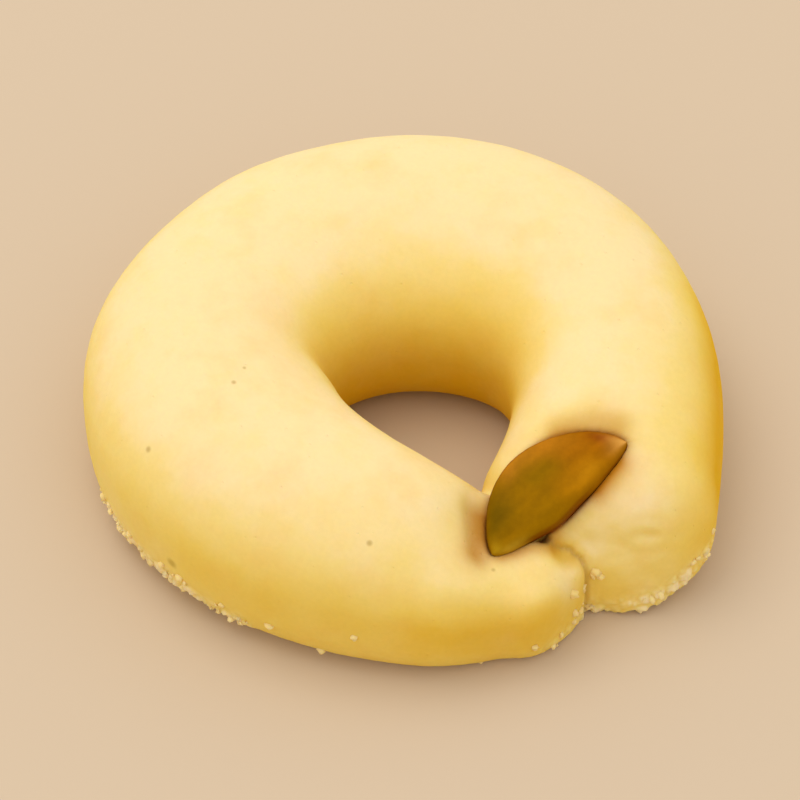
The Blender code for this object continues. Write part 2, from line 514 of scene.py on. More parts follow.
    def toasting(self, tree: Tree, place: Socket) -> Socket:
        """Adds the nodes of where the skin is toasted.

        Args:
            tree: The node tree.
            place: The object coordinates.

        Returns:
            The output that holds how much of the toasted colour shows.
        """
        inputs = {"Vector": place, "W": self.toasted_seed, "Scale": 1.0 / self.toasted_size}
        inputs |= {"Detail": 3.0, "Roughness": 0.6}
        clouds = add(tree, "ShaderNodeTexNoise", {"noise_dimensions": "4D"}, inputs).outputs[0]
        start, full = self.toasted_span
        inputs = {"Value": clouds, "From Min": start, "From Max": full, "To Max": self.toasted_share}
        return add(tree, "ShaderNodeMapRange", inputs=inputs).outputs[0]

    def speckled(self, tree: Tree, place: Socket, ball: Ball) -> Socket:
        """Adds the nodes of one speck.

        Args:
            tree: The node tree.
            place: The object coordinates.
            ball: The speck's x, y, z and radius, in millimetres.

        Returns:
            The output that holds how much of its colour shows.
        """
        *middle, radius = ball
        inputs = {0: place, 1: Vector(middle) * MM}
        away = add(tree, "ShaderNodeVectorMath", {"operation": "DISTANCE"}, inputs).outputs["Value"]
        inputs = {"Value": away, "From Min": radius * MM, "From Max": self.speck_core * radius * MM}
        inputs["To Max"] = self.speck_strength
        return add(tree, "ShaderNodeMapRange", {"interpolation_type": "SMOOTHSTEP"}, inputs).outputs[0]

    def relief(self, tree: Tree, place: Socket, grain: Socket) -> Socket:
        """Adds the nodes of the fine relief: flour grains, and pores where fat melted out.

        Args:
            tree: The node tree.
            place: The object coordinates.
            grain: The noise of the flour grains.

        Returns:
            The output that holds the bumped normal.
        """
        inputs = {"Height": grain, "Strength": 1.0, "Distance": self.grain_depth}
        grains = add(tree, "ShaderNodeBump", inputs=inputs).outputs["Normal"]
        inputs = {"Vector": place, "Scale": 1.0 / self.pore_spacing, "Randomness": 1.0}
        cells = add(tree, "ShaderNodeTexVoronoi", inputs=inputs).outputs["Distance"]
        floor, edge = self.pore_edge
        inputs = {"Value": cells, "From Min": floor, "From Max": edge}
        pores = add(tree, "ShaderNodeMapRange", {"interpolation_type": "SMOOTHSTEP"}, inputs).outputs[0]
        inputs = {"Height": pores, "Strength": 1.0, "Distance": self.pore_depth, "Normal": grains}
        return add(tree, "ShaderNodeBump", inputs=inputs).outputs["Normal"]


@dataclass(frozen=True)
class Blush:
    """A patch of another colour on the nut, in its own axes: u along it and v across it, both to 1."""

    name: str
    colour: str
    u: float
    v: float
    reach_u: float
    reach_v: float
    strength: float = 1.0

    def share(self, u: Array, v: Array) -> Array:
        """Gives how much of its colour shows at each point."""
        along, across = (u - self.u) / self.reach_u, (v - self.v) / self.reach_v
        return self.strength * np.exp(-(along**2) - across**2)


@dataclass(frozen=True)
class RoastedPistachio:
    """The inside of a split pistachio kernel, dried and lightly roasted in the oven.

    It gives a satin, faintly wrinkled face, olive where it stayed moist and brown where the heat reached it,
    with highlights painted into its colour.
    """

    olive: str = "#8E6400"
    # Roast colours; the amber edge, the golden facet, both tips and the near edge also hold painted
    # highlights
    patches: tuple[Blush, ...] = (
        Blush("browned_half", "#9C5E00", u=0.72, v=0.3, reach_u=0.60, reach_v=1.6),
        Blush("moss_edge", "#6E5200", u=-0.68, v=0.66, reach_u=0.30, reach_v=0.46),
        Blush("amber_edge", "#B4761A", u=-0.05, v=1.0, reach_u=0.26, reach_v=0.30),
        Blush("amber_far_edge", "#B67414", u=0.33, v=0.95, reach_u=0.24, reach_v=0.40, strength=0.9),
        Blush("moss_middle", "#856000", u=0.0, v=0.45, reach_u=0.22, reach_v=0.26, strength=0.9),
        Blush("golden_facet", "#B67A08", u=0.38, v=-0.35, reach_u=0.26, reach_v=0.42),
        Blush("scorched_patch", "#8A4400", u=0.81, v=0.62, reach_u=0.13, reach_v=0.36),
        Blush("bright_low_tip", "#A88210", u=-0.93, v=-0.3, reach_u=0.11, reach_v=0.80),
        Blush("bright_near_edge", "#B48C1E", u=-0.76, v=-0.95, reach_u=0.15, reach_v=0.35, strength=0.9),
        Blush("orange_high_tip", "#DCA04A", u=0.95, v=0.0, reach_u=0.14, reach_v=0.50),
    )
    # The rim's colour: the skin's darker colour, and on the side painted shade too
    rim: str = "#7A4000"
    wrinkle_size: float = 0.5 * MM
    wrinkle_depth: float = 0.02 * MM
    wrinkle_shade: Span = (0.93, 1.06)
    vein_shade: Span = (0.92, 1.08)
    roughness: float = 0.5
    gloss: float = 0.02

    def material(self) -> Material:
        """Makes the material.

        Returns:
            The material.
        """
        constants = {"Roughness": self.roughness, "Specular IOR Level": self.gloss}
        material, tree, shader = new_material("roasted_pistachio_kernel", constants)
        place = add(tree, "ShaderNodeTexCoord").outputs["Object"]
        face = linear(self.olive)
        for name, colour in [(patch.name, patch.colour) for patch in self.patches] + [("rim", self.rim)]:
            share = add(tree, "ShaderNodeAttribute", {"attribute_name": name}).outputs["Fac"]
            inputs = {MIX_FACTOR: share, MIX_A: face, MIX_B: linear(colour)}
            face = add(tree, "ShaderNodeMix", {"data_type": "RGBA"}, inputs).outputs[MIX_RESULT]
        inputs = {"Vector": place, "Scale": 1.0 / self.wrinkle_size, "Detail": 3.0, "Roughness": 0.6}
        wrinkles = add(tree, "ShaderNodeTexNoise", inputs=inputs).outputs[0]
        veins = add(tree, "ShaderNodeAttribute", {"attribute_name": "veins"}).outputs["Fac"]
        for pattern, span, (darkest, lightest) in (
            (wrinkles, NOISE_SPAN, self.wrinkle_shade),
            (veins, VEIN_SPAN, self.vein_shade),
        ):
            inputs = {"Value": pattern, **span, "To Min": darkest, "To Max": lightest}
            shade = add(tree, "ShaderNodeMapRange", inputs=inputs).outputs[0]
            settings = {"data_type": "RGBA", "blend_type": "MULTIPLY"}
            inputs = {MIX_FACTOR: 1.0, MIX_A: face, MIX_B: shade}
            face = add(tree, "ShaderNodeMix", settings, inputs).outputs[MIX_RESULT]
        tree.links.new(face, shader.inputs["Base Color"])
        inputs = {"Height": wrinkles, "Strength": 1.0, "Distance": self.wrinkle_depth}
        tree.links.new(add(tree, "ShaderNodeBump", inputs=inputs).outputs["Normal"], shader.inputs["Normal"])
        return material


# ---------------- the nut half


@dataclass
class PistachioHalf:
    """Half a pistachio kernel, split face up: flat towards the hole, with a narrow facet on the near side."""

    voxel: float = 0.1 * MM
    passes: int = 24
    bow: float = 0.26 * MM  # how far its middle is bowed to the hole
    # Where its far and near edge stand out, or with a negative amount back: place along it, reach, amount
    far_edge: tuple[Place, ...] = ((-0.1, 0.45, 0.2 * MM), (-0.87, 0.16, -0.2 * MM))
    near_edge: tuple[Place, ...] = ((-0.2, 0.22, 0.25 * MM),)
    taper: float = 0.62  # exponent of its outline, which is a lens with slightly rounded tips
    tip_width: float = 0.05  # the least share of its width, at the tips
    flat_from: Span = (-0.1, 0.3)  # where across it the facet ends and the flat of the face begins
    wrinkle_depth: float = 0.05 * MM
    wrinkle_spacing: float = 1.1 * MM
    wrinkle_stretch: float = 0.22  # how much slower the wrinkles change along the nut than across it
    vein_spacing: float = 0.6 * MM
    vein_stretch: float = 0.25
    wobble: float = 0.10  # how far the patches of colour wander along it, and twice as far across it
    wobble_size: float = 1.6 * MM
    # The dark rim, skin colour on the face and painted shade down the side: how dark it is on the face,
    # where across it begins, and how far down the side it grows
    rim_on_face: float = 0.6
    rim_edge: Span = (0.93, 1.0)
    rim_side: Span = (0.1 * MM, 0.5 * MM)
    rim_lit: float = 0.8  # how much of the rim is gone in the upper half of the near edge
    finish: RoastedPistachio = field(default_factory=RoastedPistachio)
    # Found from the solid: its middle, and its axes from low to high tip, to the hole, and out of its face
    middle: Vector = field(init=False)
    axes: Matrix = field(init=False)
    lowest: Array = field(init=False)
    highest: Array = field(init=False)

    def __post_init__(self) -> None:
        """Finds the nut's axes, middle and reach from the solid's points."""
        points = read_points(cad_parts[Solid.NUT.value].data)
        centre = points.mean(axis=0)
        directions = np.linalg.svd(points - centre, full_matrices=False)[2]
        along = Vector(directions[0]) * math.copysign(1.0, directions[0][0])
        crown = Vector(directions[2]) * math.copysign(1.0, directions[2][2])
        self.axes = Matrix((along, crown.cross(along), crown))
        self.middle = Vector(centre)
        own = self.own(points)
        both_tips = points[own[:, 0].argmax()] + points[own[:, 0].argmin()]
        self.middle = Vector(both_tips / 2)
        own = self.own(points)
        self.lowest = own.min(axis=0)
        self.highest = own.max(axis=0)

    def own(self, points: Array) -> Array:
        """Gives the points in the nut's own axes: along it, across it to the hole, and up out of its face."""
        return (points - np.array(self.middle)) @ np.array(self.axes).T

    def from_own(self, own: Array) -> Array:
        """Turns points in the nut's own axes back to the frame's."""
        return own @ np.array(self.axes) + np.array(self.middle)

    def shares(self, own: Array) -> tuple[Array, Array]:
        """Gives where points lie on the nut.

        Args:
            own: Points in its own axes.

        Returns:
            From -1 at the low tip to 1 at the high one, and from -1 at the near edge to 1 at the far one.
        """
        u = np.clip(own[:, 0] / self.highest[0], -1.0, 1.0)
        swell = np.maximum((1.0 - u * u) ** self.taper, self.tip_width)
        width = np.where(own[:, 1] > 0.0, self.highest[1], -self.lowest[1])
        return u, np.clip(own[:, 1] / (width * swell), -1.0, 1.0)

    def build(self) -> Piece:
        """Builds the nut half and puts it in the solid's place.

        Returns:
            The piece.
        """
        mesh = remeshed("pistachio_kernel_half", merged_copy(Solid.NUT), self.voxel, self.passes)
        own = self.stretched(self.own(read_points(mesh)))
        u, v = self.shares(own)
        own[:, 1] += self.bow * (1.0 - u * u)
        for side, bulges in ((1.0, self.far_edge), (-1.0, self.near_edge)):
            for place, reach, amount in bulges:
                own[:, 1] += side * amount * bell(u - place, reach) * np.maximum(side * v, 0.0)
        own[:, 2] = self.flattened(own[:, 2], v)
        wrinkles = ripple(own * np.array([self.wrinkle_stretch, 1.0, 1.0]), self.wrinkle_spacing, seed=3.0)
        own[:, 2] += self.wrinkle_depth * wrinkles * (own[:, 2] > 0.0)
        write_points(mesh, self.from_own(own))

        veins = ripple(own * np.array([self.vein_stretch, 1.0, 1.0]), self.vein_spacing, seed=12.0)
        write_attribute(mesh, "veins", veins)
        drift = [self.wobble * ripple(own, self.wobble_size, seed) for seed in (5.0, 9.0)]
        for patch in self.finish.patches:
            write_attribute(mesh, patch.name, patch.share(u + drift[0], v + 2.0 * drift[1]))
        write_attribute(mesh, "rim", self.rim(own, u, v))
        mesh.shade_smooth()
        piece = new_piece(mesh.name, mesh, self.finish.material())
        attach(piece, BODY)
        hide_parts(Solid.NUT.value)
        return piece

    def stretched(self, own: Array) -> Array:
        """Gives back what the smoothing took off the nut's length, width and thickness.

        Args:
            own: Its smoothed points, in its own axes.

        Returns:
            The points at their full size.
        """
        up = self.highest / own.max(axis=0)
        down = self.lowest / own.min(axis=0)
        return own * np.where(own > 0.0, up, down)

    def flattened(self, heights: Array, v: Array) -> Array:
        """Flattens the face on the side to the hole, and leaves the near facet and the keel as they are.

        Args:
            heights: How high the points are over the nut's middle.
            v: Where they lie across it.

        Returns:
            The new heights.
        """
        share = np.clip(heights / self.highest[2], 0.0, 1.0)
        flat = self.highest[2] * share * np.sqrt(2.0 - share * share)
        on_face = ramp(v, *self.flat_from) * (heights > 0.0)
        return heights + on_face * (flat - heights)

    def rim(self, own: Array, u: Array, v: Array) -> Array:
        """Gives how dark the edge and the side are.

        The side holds the skin's darker colour and painted shade, which painted light takes off at the low
        tip and the near edge.

        Args:
            own: Points in its own axes.
            u: Where they lie along it.
            v: Where they lie across it.

        Returns:
            From 0 to 1 at each point.
        """
        rim = np.maximum(self.rim_on_face * ramp(np.abs(v), *self.rim_edge), ramp(-own[:, 2], *self.rim_side))
        lit_tip = ramp(-u, 0.5, 0.7) * ramp(-v, -0.2, 0.3)
        lit_edge = self.rim_lit * bell(u - 0.4, 0.14) * ramp(-v, 0.2, 0.7)
        return rim * (1.0 - lit_tip) * (1.0 - lit_edge)


# ---------------- the dough


@dataclass(frozen=True)
class Mark:
    """A place where the dough is pressed in, browned, more golden or crumbled.

    Browned and golden marks are partly painted shade, and paler ones with a negative depth painted light.

    The places, the reach and the depth are in millimetres. The places give a line that the mark follows, or
    one place. The depth of a mark that isn't pressed in is its strength.
    """

    places: tuple[Place, ...]
    reach: float
    depth: float
    towards: Place = (0.0, 0.0, -1.0)

    def line(self) -> list[Vector]:
        """Gives places along the mark, in metres."""
        return along_line([Vector(place) * MM for place in self.places], MARK_STEP)

    def share(self, points: Array) -> Array:
        """Gives 1 for points on the mark and less for points beside it."""
        return bell(nearest_distance(points, self.line()), self.reach * MM)


@dataclass
class DoughRing:
    """The rope of dough: smooth where it was rolled, creased at its joint and crumbling along its foot."""

    voxel: float = 0.28 * MM
    passes: int = 28
    shrinkage: float = 0.04 * MM  # what the smoothing takes off, given back along the normals
    fine_passes: int = 2
    fine_round_joint: float = 1.4 * MM
    fine_if_crumbly: float = 0.15
    hole_middle: Span = (1.5 * MM, -1.5 * MM)
    outside_from: float = 11.0 * MM  # the outside is further than this from the hole's middle
    # The dough is drawn in to the nut where it was nearer than the first distance, and not at all beyond the
    # second, but keeps the gap along the nut's near edge
    drawn_in: Span = (0.45 * MM, 1.5 * MM)
    near_gap: float = 0.20 * MM
    touching: float = 0.01 * MM  # below this the way to the nut is its surface's normal
    upper_half: Span = (0.15, 0.42)  # where along the nut its upper half begins
    upper_closed: float = 0.9  # how much of the gap is closed there
    tip_gap: float = 0.35  # how much of the gap there is at the low tip
    # The seam between the two ends, from under the nut down to the foot
    seam: tuple[Place, ...] = (
        (9.9, -14.6, 7.0),
        (10.5, -15.4, 7.3),
        (11.4, -14.9, 6.5),
        (11.9, -15.1, 5.9),
        (12.35, -15.4, 5.0),
        (12.5, -15.5, 3.0),
        (12.4, -15.4, 0.0),
    )
    seam_depth: float = 0.22 * MM
    seam_reach: float = 0.17 * MM
    seam_lip: float = 0.05 * MM
    seam_lip_away: float = 0.7 * MM
    seam_lip_reach: float = 0.3 * MM
    seam_mouth: Mark = Mark(((9.5, -15.1, 7.6),), reach=0.45, depth=1.2, towards=(-0.1, 0.3, -0.95))
    marks: tuple[Mark, ...] = (
        # The upper right corner of the tongue, which slumped
        Mark(((11.3, -16.1, 6.8),), reach=1.3, depth=0.8, towards=(-0.45, -0.1, -0.9)),
        # The tongue's shoulder, which the fingers left flat on top and steep in front
        Mark(
            ((3.0, -19.9, 7.6), (7.0, -19.7, 6.3), (10.4, -19.3, 5.6)),
            reach=1.3,
            depth=0.25,
            towards=(0.0, -0.5, 0.85),
        ),
        # The hollow beside the low half of the nut
        Mark(((5.0, -13.4, 8.9), (5.3, -15.4, 8.4), (5.8, -17.0, 8.0)), reach=1.0, depth=0.75),
        # The left shoulder of the right end
        Mark(((13.2, -15.1, 6.7), (14.4, -15.2, 6.9)), reach=1.3, depth=0.28, towards=(0.0, 0.9, -0.4)),
        # The soft hollow in the right end
        Mark(((15.7, -15.3, 6.3),), reach=2.2, depth=0.25, towards=(0.0, 0.9, -0.4)),
        # A finger's scratch beside it
        Mark(((16.5, -15.0, 7.6), (17.3, -14.6, 7.2)), reach=0.4, depth=0.2, towards=(0.0, 0.9, -0.4)),
        # The spread foot of the right end
        Mark(((15.8, -15.9, 0.6), (17.6, -15.5, 0.9)), reach=0.9, depth=0.3, towards=(0.2, -1.0, 0.0)),
    )
    # How strongly the dough is browned and given painted shade beside the nut, how much painted shade its
    # crevices get, and over what distance
    nut_stain_and_shade: float = 0.32
    nut_stain_and_shade_reach: float = 0.45 * MM
    seam_shade: float = 0.25
    mouth_shade: float = 0.95
    mouth_shade_reach: float = 0.6 * MM
    nut_shade: float = 0.9
    crevice_reach: float = 0.22 * MM
    upper_lit: float = 0.75  # how much of the shade is gone along the nut's upper half
    # Painted shade beyond the nut: all along, and what is added at the low tip and in the upper half
    far_shades: Place = (0.3, 0.5, 0.35)
    # Where the nut's oil and the oven browned the dough, together with painted shade: in the hollow
    # by the nut's low half, round its edges, at the seam's mouth, along the tongue's front and on
    # the right flank
    stains_and_shade: tuple[Mark, ...] = (
        Mark(((5.1, -14.0, 8.5), (5.0, -15.6, 8.1), (4.8, -17.0, 8.0)), reach=1.2, depth=0.82),
        Mark(((10.8, -8.3, 10.8), (13.2, -7.9, 11.3), (14.8, -8.4, 11.4)), reach=1.1, depth=0.55),
        Mark(((13.3, -12.9, 9.6), (13.9, -12.3, 10.1), (14.9, -11.2, 10.9)), reach=1.35, depth=0.34),
        Mark(((13.5, -12.7, 9.9), (14.0, -12.2, 10.2), (14.8, -11.4, 10.7)), reach=0.9, depth=0.45),
        Mark(((10.5, -15.0, 7.3),), reach=0.8, depth=0.45),
        Mark(((10.8, -15.8, 6.9), (11.6, -15.6, 5.7)), reach=0.8, depth=0.2),
        Mark(((6.9, -16.9, 7.7), (8.4, -16.4, 7.7), (10.2, -16.0, 7.4)), reach=0.6, depth=0.5),
        Mark(((5.1, -11.8, 8.6),), reach=1.0, depth=0.22),
        Mark(((21.3, 0.0, 9.0), (21.8, -5.0, 8.0), (21.4, -9.0, 7.5)), reach=2.2, depth=0.13),
        Mark(((5.0, -20.9, 4.0), (9.5, -20.3, 3.5), (12.0, -18.8, 3.5)), reach=2.2, depth=0.12),
    )
    # Painted shade where the skin is made more golden than its slope gives, and painted light where a
    # negative depth makes it paler: on the right flank, round the tongue, on the ends, on the left, beside
    # the hole and round the nut
    golden: tuple[Mark, ...] = (
        Mark(((21.5, 4.0, 8.0), (22.0, -2.0, 7.5), (21.5, -8.0, 7.0)), reach=4.0, depth=0.6),
        Mark(((2.0, -20.8, 5.0), (8.0, -20.4, 4.0), (12.0, -19.0, 3.5)), reach=2.6, depth=0.22),
        Mark(((12.6, -13.6, 8.2), (15.5, -13.4, 8.8), (16.8, -14.6, 4.5)), reach=3.0, depth=-0.22),
        Mark(((18.0, -2.5, 12.0), (18.0, -11.5, 10.5)), reach=2.5, depth=0.1),
        Mark(((-6.5, -17.0, 10.5), (-1.5, -18.2, 10.2)), reach=3.0, depth=0.07),
        Mark(((-22.0, 5.0, 8.0), (-22.3, 0.0, 8.5), (-21.0, -6.0, 7.0)), reach=3.0, depth=-0.15),
        Mark(((-20.5, -9.0, 4.5), (-17.0, -13.0, 4.0)), reach=3.2, depth=-0.20),
        Mark(((9.8, 2.0, 9.0), (9.0, -3.0, 8.5), (7.5, -7.0, 8.0)), reach=1.8, depth=-0.16),
        Mark(((11.3, -17.6, 4.7),), reach=1.4, depth=-0.4),
        Mark(((7.0, -19.5, 6.0), (11.0, -18.2, 5.6)), reach=1.0, depth=-0.08),
        Mark(((11.0, -18.1, 5.5),), reach=0.8, depth=-0.15),
        Mark(((10.6, -15.9, 7.1), (11.7, -15.6, 6.0)), reach=0.8, depth=0.45),
        Mark(((13.2, -15.2, 6.6),), reach=1.6, depth=-0.2),
        Mark(((10.8, -8.3, 10.8), (13.2, -7.9, 11.3), (14.8, -8.4, 11.4)), reach=1.6, depth=0.2),
        Mark(((10.2, -15.2, 7.5), (12.5, -13.8, 8.6), (14.5, -12.0, 10.4)), reach=1.2, depth=0.2),
    )
    # The outside's drying and painted light: on a steep flank, and what facing up and standing high add
    dry_and_lit_flank: float = 0.42
    dry_and_lit_facing_up: float = 0.40
    dry_and_lit_high: float = 0.18
    high_levels: Span = (5.0 * MM, 13.5 * MM)
    # Painted shade on the hole's walls: deepest up to this level, gone this much higher, and slowly at first
    moist_and_shaded_level: float = 1.5 * MM
    drying_and_lighting_height: float = 12.5 * MM
    drying_and_lighting_curve: float = 1.8
    inner_side: Span = (18.0 * MM, 14.0 * MM)  # how far from its middle the walls of the hole end and begin
    # The crumbling fades from the lower of these levels up to the other, and the flat underside has none
    foot_levels: Span = (5.0 * MM, 3.2 * MM)
    underside: float = 0.03 * MM
    crumb_depth: float = 0.6 * MM
    crumb_cell: float = 1.15 * MM
    # The coarse and the fine crumbs: their size as a share of the cell, and their share of the rise
    crumb_layers: tuple[Span, ...] = ((1.0, 0.65), (0.45, 0.35))
    crack_width: float = 0.5  # as a share of a crumb
    crack_depth: float = 0.45
    crumbly_paleness: float = 0.54  # paler crumbled dough: drier, and partly painted light at the shaded foot
    crumb_paleness: float = 0.99  # paler crumbs in it: drier, and partly painted light at the shaded foot
    crumbly_everywhere: float = 0.06
    crumbly_seam: float = 0.1
    crumbly_seam_reach: float = 0.35 * MM
    crumbly_seam_level: float = 6.0 * MM
    ragged_wave: float = 1.6 * MM
    ragged: Span = (0.7, 0.6)  # the middle share of the crumbling, and how far it swings round that
    least_crumbly: float = 0.02  # below this no crumbs rise
    # Along the foot of the blunt end, at the tongue's corner and on the left
    crumbled: tuple[Mark, ...] = (
        Mark(
            (
                (13.6, -15.6, 0.2),
                (15.9, -15.7, 0.7),
                (18.3, -15.0, 1.2),
                (20.2, -13.9, 2.6),
                (21.0, -12.9, 3.8),
            ),
            reach=1.25,
            depth=1.0,
        ),
        Mark(((10.5, -19.9, 1.2), (12.6, -18.0, 1.2)), reach=1.3, depth=0.5),
        Mark(
            (
                (-21.2, -7.6, 2.4),
                (-18.9, -11.1, 2.2),
                (-16.7, -13.6, 2.1),
                (-14.2, -15.9, 1.9),
                (-11.8, -17.5, 1.7),
            ),
            reach=1.3,
            depth=0.85,
        ),
    )
    # The blunt end, which is rougher than the rolled skin
    rough_end: Mark = Mark(((15.6, -14.8, 6.5), (15.8, -15.6, 3.0)), reach=2.6, depth=0.12)
    rough_wave: float = 0.9 * MM
    skin_wave: float = 1.4 * MM
    skin_relief: float = 0.02 * MM
    finish: PaleShortbread = field(default_factory=PaleShortbread)

    def build(self, nut: PistachioHalf, kernel: Piece) -> Piece:
        """Builds the dough round the nut.

        Args:
            nut: The nut half that lies in it.
            kernel: Its piece.

        Returns:
            The piece.
        """
        nut_surface = surface_of(kernel.data)
        mesh = remeshed("baked_dough_ring", merged_copy(Solid.DOUGH), self.voxel, self.passes)
        write_points(mesh, read_points(mesh) + self.shrinkage * read_normals(mesh))
        seam = self.seam_on(mesh)
        self.refine_detail(mesh, nut_surface, seam)
        seam = [Vector(place) for place in self.pressed(np.array(seam), self.marks)]

        points = self.pressed(read_points(mesh), self.marks)
        points = self.close_on_nut(points, nut, nut_surface)
        from_mouth = nearest_distance(points, self.seam_mouth.line())
        points = self.pressed(points, (self.seam_mouth,))
        write_points(mesh, points)
        from_seam = nearest_distance(points, seam)
        points = self.cut_seam(points, read_normals(mesh), from_seam)
        write_points(mesh, points)
        crumbly = self.crumbliness(points, from_seam)
        rise = self.crumbs_rise(points, crumbly)
        points += (self.crumb_depth * rise + self.uneven(points))[:, None] * read_normals(mesh)
        write_points(mesh, self.inside_box(points))

        from_nut = np.array([nut_surface.find_nearest(point)[3] for point in points])
        # Browning beside the nut and on the marks, partly painted shade
        stain = bell(from_nut, self.nut_stain_and_shade_reach, self.nut_stain_and_shade)
        for mark in self.stains_and_shade:
            stain += mark.depth * mark.share(points)
        write_attribute(mesh, "stain", np.clip(stain, 0.0, 1.0))
        # Painted shade along the seam, at its mouth and round the nut
        along_seam = bell(from_seam, self.crevice_reach, self.seam_shade)
        at_mouth = bell(from_mouth, self.mouth_shade_reach, self.mouth_shade)
        round_nut = bell(from_nut, self.crevice_reach, self.nut_shade) * self.shade_beside_nut(points, nut)
        write_attribute(mesh, "crevice", np.maximum(np.maximum(along_seam, at_mouth), round_nut))
        # The crumbled dough and its crumbs are paler: drier, and partly painted light at the shaded foot
        paler = self.crumbly_paleness * crumbly + self.crumb_paleness * rise
        write_attribute(mesh, "dried", self.dryness_and_painted_light(points, read_normals(mesh)) + paler)
        write_attribute(mesh, "crumbly", crumbly)
        mesh.shade_smooth()
        piece = new_piece(mesh.name, mesh, self.finish.material())
        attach(piece, BODY)
        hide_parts(Solid.DOUGH.value)
        return piece

    def seam_on(self, mesh: Mesh) -> list[Vector]:
        """Lays the seam on the smoothed dough.

        Args:
            mesh: The dough's mesh.

        Returns:
            Places along it, in metres.
        """
        surface = surface_of(mesh)
        line = along_line([Vector(place) * MM for place in self.seam], SEAM_STEP)
        return [surface.find_nearest(place)[0] for place in line]

    def refine_detail(self, mesh: Mesh, nut_surface: BVHTree, seam: list[Vector]) -> None:
        """Makes the mesh finer round the nut, along the seam and along the crumbling foot.

        Args:
            mesh: The dough's mesh.
            nut_surface: The nut's surface.
            seam: Places along the seam.
        """
        points = read_points(mesh)
        near_nut = np.array(
            [nut_surface.find_nearest(point, self.fine_round_joint)[0] is not None for point in points]
        )
        from_seam = nearest_distance(points, seam)
        crumbly = self.crumbliness(points, from_seam) > self.fine_if_crumbly
        refine(mesh, near_nut | (from_seam < self.fine_round_joint) | crumbly, self.fine_passes)

    def uneven(self, points: Array) -> Array:
        """Gives how far the skin's unevenness raises each point.

        Args:
            points: The dough's points.

        Returns:
            One height for each point.
        """
        fine = self.skin_relief * ripple(points, self.skin_wave, seed=2.0)
        at_end = self.rough_end.depth * MM * self.rough_end.share(points)
        return fine + at_end * ripple(points, self.rough_wave, seed=6.0)

    def pressed(self, points: Array, marks: tuple[Mark, ...]) -> Array:
        """Presses the marks into the dough.

        Args:
            points: The dough's points.
            marks: The marks.

        Returns:
            The moved points.
        """
        moved = points.copy()
        for mark in marks:
            moved += (mark.depth * MM * mark.share(moved))[:, None] * np.array(mark.towards)
        return moved

    def close_on_nut(self, points: Array, nut: PistachioHalf, nut_surface: BVHTree) -> Array:
        """Draws the dough in round the nut, with a narrow gap left along its near edge and at its low tip.

        Args:
            points: The dough's points.
            nut: The nut half, for its axes.
            nut_surface: The nut's surface.

        Returns:
            The moved points.
        """
        moved = points.copy()
        own = nut.own(points)
        u = nut.shares(own)[0]
        near_side = ramp(-own[:, 1], -0.4 * MM, 0.6 * MM) * ramp(u, -0.45, -0.2)
        near_side *= 1.0 - self.upper_closed * ramp(u, *self.upper_half)
        low_tip = self.tip_gap * ramp(own[:, 1], -0.4 * MM, 0.2 * MM) * ramp(u, -0.68, -0.9)
        near_face = ramp(own[:, 2], -1.1 * MM, -0.3 * MM)
        gap = (near_side + low_tip) * near_face * self.near_gap
        held_from, held_to = self.drawn_in
        for index, point in enumerate(points):
            surface, normal, _, distance = nut_surface.find_nearest(point, held_to)
            if surface is None:
                continue
            outwards = Vector(point) - surface
            inside = outwards.dot(normal) < 0.0
            away = -distance if inside else distance
            share = min(1.0, max(0.0, (away - held_from) / (held_to - held_from)))
            kept = share * share * (3.0 - 2.0 * share)
            wanted = gap[index] + max(0.0, away - gap[index]) * kept
            direction = normal if inside or distance < self.touching else outwards.normalized()
            moved[index] = surface + float(wanted) * direction
        return moved

    def shade_beside_nut(self, points: Array, nut: PistachioHalf) -> Array:
        """Gives the painted shade at the line of contact: most along the middle of the nut's near edge.

        Args:
            points: The dough's points.
            nut: The nut half, for its axes.

        Returns:
            From 0 to 1 at each point.
        """
        own = nut.own(points)
        u = nut.shares(own)[0]
        near_side = ramp(-own[:, 1], -0.4 * MM, 0.2 * MM)
        near = near_side * ramp(u, -0.6, -0.3) * (1.0 - self.upper_lit * ramp(u, *self.upper_half))
        along, at_tip, upper = self.far_shades
        far = along + at_tip * ramp(-u, 0.65, 0.8) + upper * ramp(u, 0.1, 0.4)
        return near + (1.0 - near_side) * far

    def cut_seam(self, points: Array, normals: Array, from_seam: Array) -> Array:
        """Cuts the crease between the two ends, with a slight lip on both sides.

        Args:
            points: The dough's points.
            normals: The normals there.
            from_seam: Their distance from the seam.

        Returns:
            The moved points.
        """
        depth = bell(from_seam, self.seam_reach, self.seam_depth)
        lip = bell(from_seam - self.seam_lip_away, self.seam_lip_reach, self.seam_lip)
        return points - (depth - lip)[:, None] * normals

    def crumbliness(self, points: Array, from_seam: Array) -> Array:
        """Gives how far the dough has crumbled at each point.

        Args:
            points: The dough's points.
            from_seam: Their distance from the seam.

        Returns:
            From 0, where it is smooth, to 1.
        """
        level = points[:, 2]
        outside = np.linalg.norm(points[:, :2] - np.array(self.hole_middle), axis=1) > self.outside_from
        low = ramp(level, *self.foot_levels) * (level > self.underside) * outside
        share = np.full(len(points), self.crumbly_everywhere)
        for mark in self.crumbled:
            share += mark.depth * mark.share(points)
        ragged = self.ragged[0] + self.ragged[1] * ripple(points, self.ragged_wave, seed=1.0)
        beside_seam = bell(from_seam - self.crumbly_seam_reach, self.crumbly_seam_reach, self.crumbly_seam)
        beside_seam *= level < self.crumbly_seam_level
        return np.clip(low * share * ragged + beside_seam * ragged, 0.0, 1.0)

